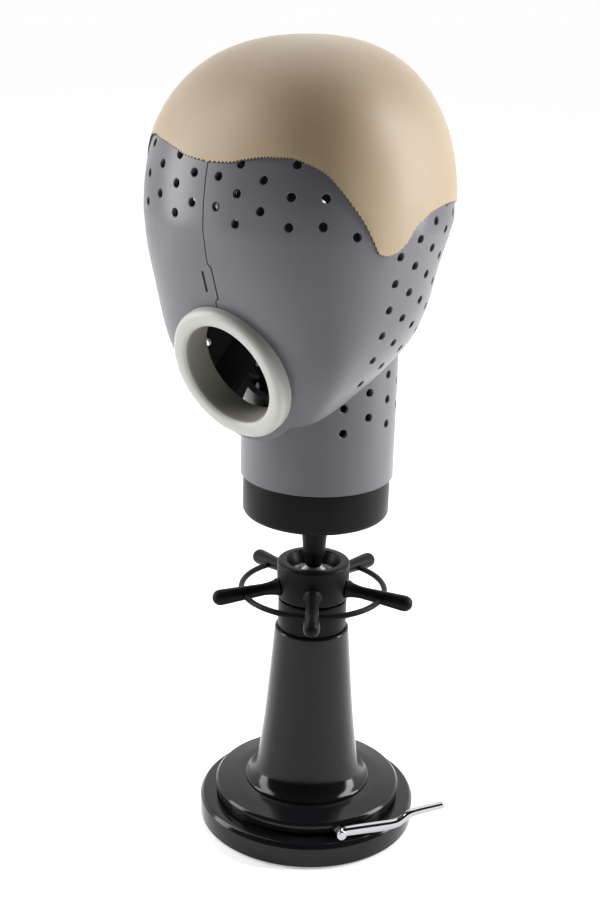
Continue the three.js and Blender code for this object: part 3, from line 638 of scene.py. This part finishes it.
# ------------------------------------------------------------------ mouth ring
def make_ring():
    r, bore, crest = RING["r"], RING["bore"], RING["crest"]
    profile = [(bore, -RING["barrel"]), (RING["barrel_r"], -RING["barrel"]),
               (RING["barrel_r"], -RING["skirt"]), (r, -RING["skirt"]), *arc(r - 3.6, crest - 3.6, 3.6, 0, 82, 8),
               *arc(bore + 3.2, crest - 3.4, 3.2, 98, 180, 8)]
    points, faces = lathe_data(profile, 144)
    ring = make("mouth_ring", onto_mouth(points), faces)
    form = head_form("ring_room", 0.2)
    boolean(form, mouth_cylinder("ring_core", RING["barrel_r"] + 0.05, -60, 60))
    boolean(ring, form)
    shade(ring, 40)
    finish_piece(ring, "ivory_ring", "head", "nozzle_ring")
    # Painted shade: the bore wall gets a darker ivory than the lip, standing in for the shade inside the bore.
    ring.data.materials.append(MATERIALS["ring_bore_painted_shade"])
    for face in ring.data.polygons:
        if mouth_radius(face.center) < (bore + 0.4) / 1000:
            face.material_index = 1
    nut_profile = rounded([(33, -10.6, 0.4), (37.6, -10.6, 0.6), (37.6, -7, 0.6), (33, -7, 0.4)])
    points, faces = lathe_data(nut_profile, 96)
    nut = shade(make("mouth_ring_nut", onto_mouth(points), faces))
    finish_piece(nut, "black_satin", "head", "nozzle_ring_nut")


# ------------------------------------------------------------------ neck and cap
def make_neck():
    tube = make("neck_sleeve", *lathe_data(rounded([
        (NECK["bore"], NECK["low"], 0.4), (NECK["r"], NECK["low"], 0.5),
        (NECK["r"], 350), (NECK["bore"], 350)]), 144))
    boolean(tube, below_jaw("jaw_slab", -0.3), "INTERSECT")
    boolean(tube, neck_vent_cutter())

    def radial(points):
        out = np.array(points, float)
        out[:, 2] = 0
        return out / np.maximum(np.linalg.norm(out, axis=1, keepdims=True), 1e-9)
    surface_normals(tube, radial)
    finish_piece(tube, "grey_shell", "head", "neck_tube")

    cap = lathe("neck_cap_cup", rounded([
        (9.8, 201.4, 0.4), (42.7, 201.4, 3.2), (42.7, 225.6, 0.5), (41.1, 225.6), (41.1, 233, 0.4),
        (38.1, 233, 0.4), (38.1, 205.4, 1), (13, 205.4, 1), (13, 211.5, 0.4), (9.8, 211.5, 0.4)]), 128)
    finish_piece(cap, "black_satin", "head", "neck_cap")


# ------------------------------------------------------------------ stand
def make_stem():
    stem = lathe("stem_post", [
        (0, 166.7), (4.6, 166.7), (4.6, 168.6), (4.8, 169.8), (5.4, 171.4), (6.2, 172.8), (6.7, 174.4),
        (6.8, 177), (7.0, 181), (7.5, 186), (8.1, 191), *arc(7.6, 200.6, 0.5, 0, 90, 3), (6, 201.1),
        (6, 213.4), (0, 213.4)], 64)
    finish_piece(stem, "black_satin", "stem", "stem")


def make_wheel():
    hub = lathe("wheel_boss", rounded([
        (HUB["bore"], HUB["low"], 0.3), (21.2, HUB["low"], 1.0), (HUB["r"], 156, 2), (HUB["r"], HUB["top"], 1.6),
        (16.2, HUB["top"], 0.8), (12.4, HUB["roof"], 0.4), (HUB["bore"], HUB["roof"], 0.3)]), 96)
    finish_piece(hub, "black_satin", "wheel", "wheel_hub")
    ring = arc(RIM["r"], RIM["z"], RIM["wire"], 0, 360, 16)[:-1]
    room = arc(RIM["r"], RIM["z"], RIM["room"], 0, 360, 16)[:-1]
    finish_piece(lathe("wheel_wire", ring, 128, 60), "black_satin", "wheel", "wheel_rim")
    drop = math.atan2(ARM["root_z"] - ARM["tip_z"], ARM["reach"] - HUB["r"])
    tip = ARM["tip_r"]
    lift = ARM["root_z"] + HUB["r"] * math.tan(drop)
    profile = [(0, 22.0), (5.6, 22.0), (4.6, 24.0), (3.9, 27.5), (3.6, 31), *[
        (3.6 + (tip - 3.6) * t, 31 + 25 * t) for t in (0.25, 0.5, 0.75, 0.95)], *arc(0, 57.2, tip, 0, 90, 8)]
    profile[-1] = (0, profile[-1][1])
    slope = Matrix.Translation((0, 0, lift)) @ Matrix.Rotation(math.pi / 2 + drop, 4, "X")
    for i in range(ARM["count"]):
        turn = Matrix.Rotation(math.radians(ARM["first"] + ARM["step"] * i), 4, "Z") @ slope
        points, faces = lathe_data(profile, 32)
        arm = make(f"wheel_handle_{i + 1}", placed(points, turn), faces)
        boolean(arm, make("wire_room", *lathe_data(room, 128)))
        shade(arm, 40)
        finish_piece(arm, "black_satin", "wheel", f"wheel_arm_{i + 1}")


def make_column():
    skirt = smooth([(27.5, 38), (30, 35.2), (35, 32.4), (44, 30.2), (56, 28.6), (69, 27.1), (127.6, 22.2)])
    heights = (27.5, 28, 28.6, 29.3, 30, 31, 32, 33.5, 35, 37, 40, 44, 48, 52, 56, 62, 69, 80, 92, 104, 116, 124)
    outside = [(float(skirt(z)), z) for z in heights]
    column = lathe("column_body", [
        (29.6, 16.2), (29.6, 26.9), (38.2, 26.9), *outside, *arc(21.2, 126.6, 1.0, 5, 85, 4), (10, 127.6),
        (10, 122.6), (19.5, 122.6), (26, 40), (26.2, 16.2)], 128)
    finish_piece(column, "black_gloss", "root", "column")
    collar = lathe("column_socket", rounded([
        (9.7, 121), (9.7, 127.9), (20.5, 127.9, 0.6), (20.5, 146, 0.8), (18.5, 146, 0.2), (18.5, 156.5, 0.6),
        (16.2, 156.5, 0.4), (16.2, 138.7), (5, 138.7), (5, 121)]), 96)
    finish_piece(collar, "black_satin", "root", "column_collar")


def make_base():
    housing = lathe("base_ring", rounded([
        (62.8, 0.8, 0.3), (65.7, 0.8, 0.8), (66, 13.2, 1.2), (64.2, 15.8, 1.6), (14, 15.8), (14, 13.2),
        (57, 13.2), (57, 3.4), (60, 3.4), (60, 13.2), (62.8, 13.2)]), 160)
    finish_piece(housing, "black_gloss", "root", "base_housing")
    cover = lathe("base_top", rounded([
        (54.4, 16.1), (54.6, 17.4, 0.3), (56.4, 18.2, 0.5), (56.6, 22.9, 0.5), (55.2, 24.5, 1.2),
        (44, 26, 6), (30, 26.6), (30, 24.4), (52.4, 22.2), (52.4, 16.1)]), 160)
    finish_piece(cover, "black_gloss", "root", "base_cover")
    pad = lathe("base_pad", rounded([
        (0, 0), (60.2, 0, 0.4), (61, 1.2, 0.4), (60.6, 3, 0.4), (12, 3), (12, 7, 0.5), (0, 7)]), 128)
    finish_piece(pad, "rubber", "root", "suction_pad")


# ------------------------------------------------------------------ suction lever
def make_lever():
    """A bent chrome bar swept along its own line, flat at the pivot and round at the tip."""
    line = [(-0.2, 0.1), (8, 0.0), (20, -0.2), (30, -0.3), (36, 0.3), (40.5, 2.6), (44.5, 5.2), (50, 6.2),
            (58, 6.9), (67, 7.6)]
    u, v = np.array(line).T
    run = np.concatenate([[0], np.cumsum(np.hypot(np.diff(u), np.diff(v)))])
    s = np.linspace(0, run[-1], 90)
    path = np.column_stack([smooth_line(run, u)(s), smooth_line(run, v)(s)])
    tangent = np.gradient(path, axis=0)
    tangent /= np.linalg.norm(tangent, axis=1, keepdims=True)
    normal = np.column_stack([-tangent[:, 1], tangent[:, 0]])
    share = s / s[-1]
    tall = np.interp(share, [0, 0.42, 0.6, 1], [3.5, 3.05, 2.3, 2.05])
    thick = np.interp(share, [0, 0.42, 0.6, 1], [2.45, 2.3, 2.1, 2.05])
    end = np.sqrt(1 - np.clip((s - (s[-1] - 2.0)) / 2.0, 0, 1) ** 2)
    start = np.sqrt(np.clip(1 - np.clip((3.4 - s) / 3.5, 0, 1) ** 2, 0, 1))
    sides = 28
    angle = 2 * np.pi * np.arange(sides) / sides
    ca, sa = np.cos(angle), np.sin(angle)
    box_c = np.sign(ca) * np.abs(ca) ** 0.75
    box_s = np.sign(sa) * np.abs(sa) ** 0.75
    scale_tall = tall * np.maximum(end * start, 0.02)
    scale_thick = thick * np.maximum(end, 0.02)
    rows = []
    for k in range(len(s)):
        offset = normal[k][None, :] * (box_s * scale_tall[k])[:, None]
        across = 60.2 + box_c * scale_thick[k]
        rows.append(np.column_stack([across, path[k, 0] + offset[:, 0], CAM_Z + path[k, 1] + offset[:, 1]]))
    first = np.tile([[60.2, rows[0][:, 1].mean(), rows[0][:, 2].mean()]], (sides, 1))
    last = np.tile([[60.2, rows[-1][:, 1].mean(), rows[-1][:, 2].mean()]], (sides, 1))
    points = np.concatenate([first, *rows, last])
    turn = Matrix.Rotation(LEVER_AZIMUTH - math.pi / 2, 4, "Z")
    bar = shade(make("lever_bar", placed(points, turn), grid_faces(len(rows) + 2, sides)), 45)
    finish_piece(bar, "chrome", "lever", "suction_lever")
    points, faces = lathe_data([(0, 0), (3.1, 0), (3.1, 0.7), *arc(2.3, 0.7, 0.8, 0, 90, 4), (0, 1.5)], 40)
    stand = turn @ Matrix.Translation((62.9, 0, CAM_Z)) @ Matrix.Rotation(math.pi / 2, 4, "Y")
    cap = shade(make("lever_cap", placed(points, stand), faces))
    finish_piece(cap, "chrome", "lever", "lever_screw")


def smooth_line(xs, ys):
    return smooth(list(zip(xs, ys)))


# ------------------------------------------------------------------ materials
def new_material(name, color, roughness, metallic=0.0):
    material = bpy.data.materials.new(name)
    material.use_nodes = True
    nodes, links = material.node_tree.nodes, material.node_tree.links
    shader = next(n for n in nodes if n.type == "BSDF_PRINCIPLED")
    shader.inputs["Base Color"].default_value = (*color, 1)
    shader.inputs["Roughness"].default_value = roughness
    shader.inputs["Metallic"].default_value = metallic
    place = nodes.new("ShaderNodeTexCoord")
    return material, nodes, links, shader, place


def noise(nodes, links, place, scale, detail=3.0, roughness=0.5):
    """Noise in object space; scale is in features per metre."""
    node = nodes.new("ShaderNodeTexNoise")
    node.inputs["Scale"].default_value = scale
    node.inputs["Detail"].default_value = detail
    node.inputs["Roughness"].default_value = roughness
    links.new(place.outputs["Object"], node.inputs["Vector"])
    return node


def ramp(nodes, links, value, stops):
    """A colour ramp with (position, colour) stops."""
    node = nodes.new("ShaderNodeValToRGB")
    elements = node.color_ramp.elements
    while len(elements) < len(stops):
        elements.new(0.5)
    for element, (position, color) in zip(elements, stops):
        element.position = position
        element.color = (*color, 1)
    links.new(value, node.inputs["Fac"])
    return node


def spread(nodes, links, value, low, high):
    node = nodes.new("ShaderNodeMapRange")
    node.inputs["To Min"].default_value = low
    node.inputs["To Max"].default_value = high
    links.new(value, node.inputs["Value"])
    return node


def bump(nodes, links, shader, height, distance, strength=1.0):
    node = nodes.new("ShaderNodeBump")
    node.inputs["Distance"].default_value = distance
    node.inputs["Strength"].default_value = strength
    links.new(height, node.inputs["Height"])
    links.new(node.outputs["Normal"], shader.inputs["Normal"])
    return node


def plastic(name, color, roughness, vary=0.06, grain=0.00001, rough_vary=0.05, grain_scale=900, specular=0.5):
    """Moulded plastic: slight tone drift, uneven gloss and a fine moulding grain."""
    material, nodes, links, shader, place = new_material(name, color, roughness)
    shader.inputs["Specular IOR Level"].default_value = specular
    drift = noise(nodes, links, place, 14, 2)
    low = tuple(c * (1 - vary) for c in color)
    high = tuple(c * (1 + vary) for c in color)
    links.new(ramp(nodes, links, drift.outputs["Fac"], [(0.3, low), (0.7, high)]).outputs["Color"],
              shader.inputs["Base Color"])
    patch = noise(nodes, links, place, 60, 4, 0.6)
    gloss = spread(nodes, links, patch.outputs["Fac"], roughness - rough_vary, roughness + rough_vary)
    links.new(gloss.outputs["Result"], shader.inputs["Roughness"])
    fine = noise(nodes, links, place, grain_scale, 2)
    bump(nodes, links, shader, fine.outputs["Fac"], grain)
    return material


def leather(name):
    material, nodes, links, shader, place = new_material(name, (0.33, 0.245, 0.15), 0.5)
    drift = noise(nodes, links, place, 9, 3)
    tone = ramp(nodes, links, drift.outputs["Fac"], [
        (0.3, (0.30, 0.222, 0.131)), (0.7, (0.355, 0.268, 0.168))])
    links.new(tone.outputs["Color"], shader.inputs["Base Color"])
    cells = nodes.new("ShaderNodeTexVoronoi")
    cells.inputs["Scale"].default_value = 1100
    links.new(place.outputs["Object"], cells.inputs["Vector"])
    bump(nodes, links, shader, cells.outputs["Distance"], 0.00006, 0.6)
    wear = noise(nodes, links, place, 40, 4)
    gloss = spread(nodes, links, wear.outputs["Fac"], 0.42, 0.56)
    links.new(gloss.outputs["Result"], shader.inputs["Roughness"])
    shader.inputs["Sheen Weight"].default_value = 0.15
    return material


def metal(name, color, roughness):
    material, nodes, links, shader, place = new_material(name, color, roughness, 1.0)
    fine = noise(nodes, links, place, 300, 4, 0.7)
    links.new(spread(nodes, links, fine.outputs["Fac"], roughness * 0.6, roughness * 1.5).outputs["Result"],
              shader.inputs["Roughness"])
    links.new(ramp(nodes, links, fine.outputs["Fac"], [
        (0.3, tuple(0.93 * c for c in color)), (0.7, color)]).outputs["Color"], shader.inputs["Base Color"])
    return material


MATERIALS = {
    "grey_shell": plastic("grey_shell_plastic", (0.102, 0.103, 0.115), 0.30, 0.03, 0.000006, 0.02,
                          specular=0.35),
    "ivory_ring": plastic("ivory_plastic", (0.42, 0.416, 0.388), 0.42, 0.03),
    "black_gloss": plastic("black_gloss_plastic", (0.006, 0.006, 0.007), 0.14, 0.2, 0.000004, 0.04, 500,
                           specular=0.23),
    "black_satin": plastic("black_satin_plastic", (0.007, 0.007, 0.007), 0.34, 0.2, 0.00002, specular=0.07),
    # Painted shade: a darker copy of the ring's ivory, for the bore wall that lies in shade.
    "ring_bore_painted_shade": plastic("ivory_painted_shade_plastic", (0.24, 0.235, 0.20), 0.5, 0.03),
    "nylon": plastic("nylon_plastic", (0.62, 0.60, 0.54), 0.45, 0.03),
    "rubber": plastic("black_rubber", (0.012, 0.012, 0.012), 0.75, 0.2, 0.00003),
    "scalp_leather": leather("tan_leather"),
    # Painted shadow: dark brown for the cover's cut edge faces, standing in for the shadow line along the edge.
    "painted_edge_shadow": plastic("leather_cut_face_painted_shadow", (0.085, 0.058, 0.032), 0.8, 0.25),
    "chrome": metal("chrome_plate", (0.46, 0.465, 0.48), 0.09),
    "steel": metal("zinc_steel", (0.45, 0.45, 0.46), 0.3),
}


def finish_piece(obj, material, body, node):
    """Material, body, and the CAD node it stands for, which it hides."""
    obj.data.materials.clear()
    obj.data.materials.append(MATERIALS[material])
    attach(obj, body)
    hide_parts(node)
    return obj


SLOT_OF = {row["node"]: row["material_slot"] for row in frame["record"]["subparts"]}


def dress_cad_nodes():
    """Gives the CAD nodes that stay their own finish."""
    for name, obj in frame["nodes"].items():
        if not obj.hide_render:
            obj.data.materials.clear()
            obj.data.materials.append(MATERIALS[SLOT_OF[name]])


# ------------------------------------------------------------------ camera, light and floor
def make_camera():
    """Long lens from the front left, above the head's middle, rolled a little as the object leans."""
    distance, height = 0.8454, 0.5262
    yaw, pitch, roll = -0.01174, 0.32945, 0.0280
    focal_px, long_side = 1540.0, 904.0
    turn = np.array(Matrix.Rotation(VIEW_AZIMUTH, 3, "Z"))
    forward = np.array([math.sin(yaw) * math.cos(pitch), math.cos(yaw) * math.cos(pitch), -math.sin(pitch)])
    right = np.array([math.cos(yaw), -math.sin(yaw), 0])
    up = np.cross(right, forward)
    c, s = math.cos(roll), math.sin(roll)
    axes = np.column_stack([c * right + s * up, -s * right + c * up, -forward])
    camera = bpy.data.objects.new("camera", bpy.data.cameras.new("camera"))
    bpy.context.scene.collection.objects.link(camera)
    matrix = Matrix((turn @ axes).tolist()).to_4x4()
    matrix.translation = Vector((turn @ np.array([0, -distance, height])).tolist())
    camera.matrix_world = matrix
    camera.data.sensor_width = 36
    camera.data.lens = 36 * focal_px / long_side
    bpy.context.scene.camera = camera


def softbox(name, size, place, aim, power):
    light = bpy.data.lights.new(name, "AREA")
    light.shape, light.size, light.size_y, light.energy = "RECTANGLE", size[0], size[1], power
    obj = bpy.data.objects.new(name, light)
    bpy.context.scene.collection.objects.link(obj)
    obj.location = place
    obj.rotation_mode = "QUATERNION"
    obj.rotation_quaternion = (Vector(aim) - Vector(place)).to_track_quat("-Z", "Y")
    return obj


def make_studio():
    """Bright surroundings behind the object and a dim room in front of it, as in an open light tent.

    The camera sees the surroundings as white wherever it stands; only their light is uneven.
    """
    turn = Matrix.Rotation(VIEW_AZIMUTH, 3, "Z")
    world = bpy.data.worlds.new("studio")
    bpy.context.scene.world = world
    world.use_nodes = True
    nodes, links = world.node_tree.nodes, world.node_tree.links
    backdrop = nodes["Background"]
    place = nodes.new("ShaderNodeTexCoord")
    away = nodes.new("ShaderNodeVectorMath")
    away.operation = "DOT_PRODUCT"
    away.inputs[1].default_value = turn @ Vector((0, 1, 0))
    links.new(place.outputs["Generated"], away.inputs[0])
    fade = nodes.new("ShaderNodeMapRange")
    fade.interpolation_type = "SMOOTHSTEP"
    fade.inputs["From Min"].default_value = -0.12
    fade.inputs["From Max"].default_value = 0.35
    fade.inputs["To Min"].default_value = 0.02
    fade.inputs["To Max"].default_value = 1.4
    links.new(away.outputs["Value"], fade.inputs["Value"])
    seen = nodes.new("ShaderNodeLightPath")
    strength = nodes.new("ShaderNodeMath")
    strength.operation = "MAXIMUM"
    links.new(fade.outputs["Result"], strength.inputs[0])
    links.new(seen.outputs["Is Camera Ray"], strength.inputs[1])
    links.new(strength.outputs["Value"], backdrop.inputs["Strength"])
    backdrop.inputs["Color"].default_value = (1, 1, 1, 1)
    corners = [(-40000, -40000, 0), (40000, -40000, 0), (40000, 40000, 0), (-40000, 40000, 0)]
    floor = make("floor", corners, [(0, 1, 2, 3)])
    material, nodes, links, shader, place = new_material("floor_paint", (0.86, 0.86, 0.86), 0.9)
    grain = noise(nodes, links, place, 3, 2)
    tone = ramp(nodes, links, grain.outputs["Fac"], [(0.2, (0.85,) * 3), (0.8, (0.87,) * 3)])
    links.new(tone.outputs["Color"], shader.inputs["Base Color"])
    shader.inputs["Emission Color"].default_value = (1, 1, 1, 1)
    shader.inputs["Emission Strength"].default_value = 0.42
    floor.data.materials.append(material)
    floor.location.z = -0.0002
    aim = (0, 0, 0.28)
    softbox("light_left", (0.5, 1.5), turn @ Vector((-1.35, 0.1, 0.75)), aim, 20)
    softbox("light_right", (0.45, 1.5), turn @ Vector((1.35, 0.1, 0.8)), aim, 30)
    softbox("light_top", (1.4, 1.4), turn @ Vector((0, 0.9, 2.0)), aim, 2)
    bpy.context.scene.view_settings.view_transform = "Standard"
    bpy.context.scene.view_settings.look = "None"


make_camera()
make_shells()
make_scalp()
make_ring()
make_neck()
make_stem()
make_wheel()
make_column()
make_base()
make_lever()
dress_cad_nodes()
make_studio()
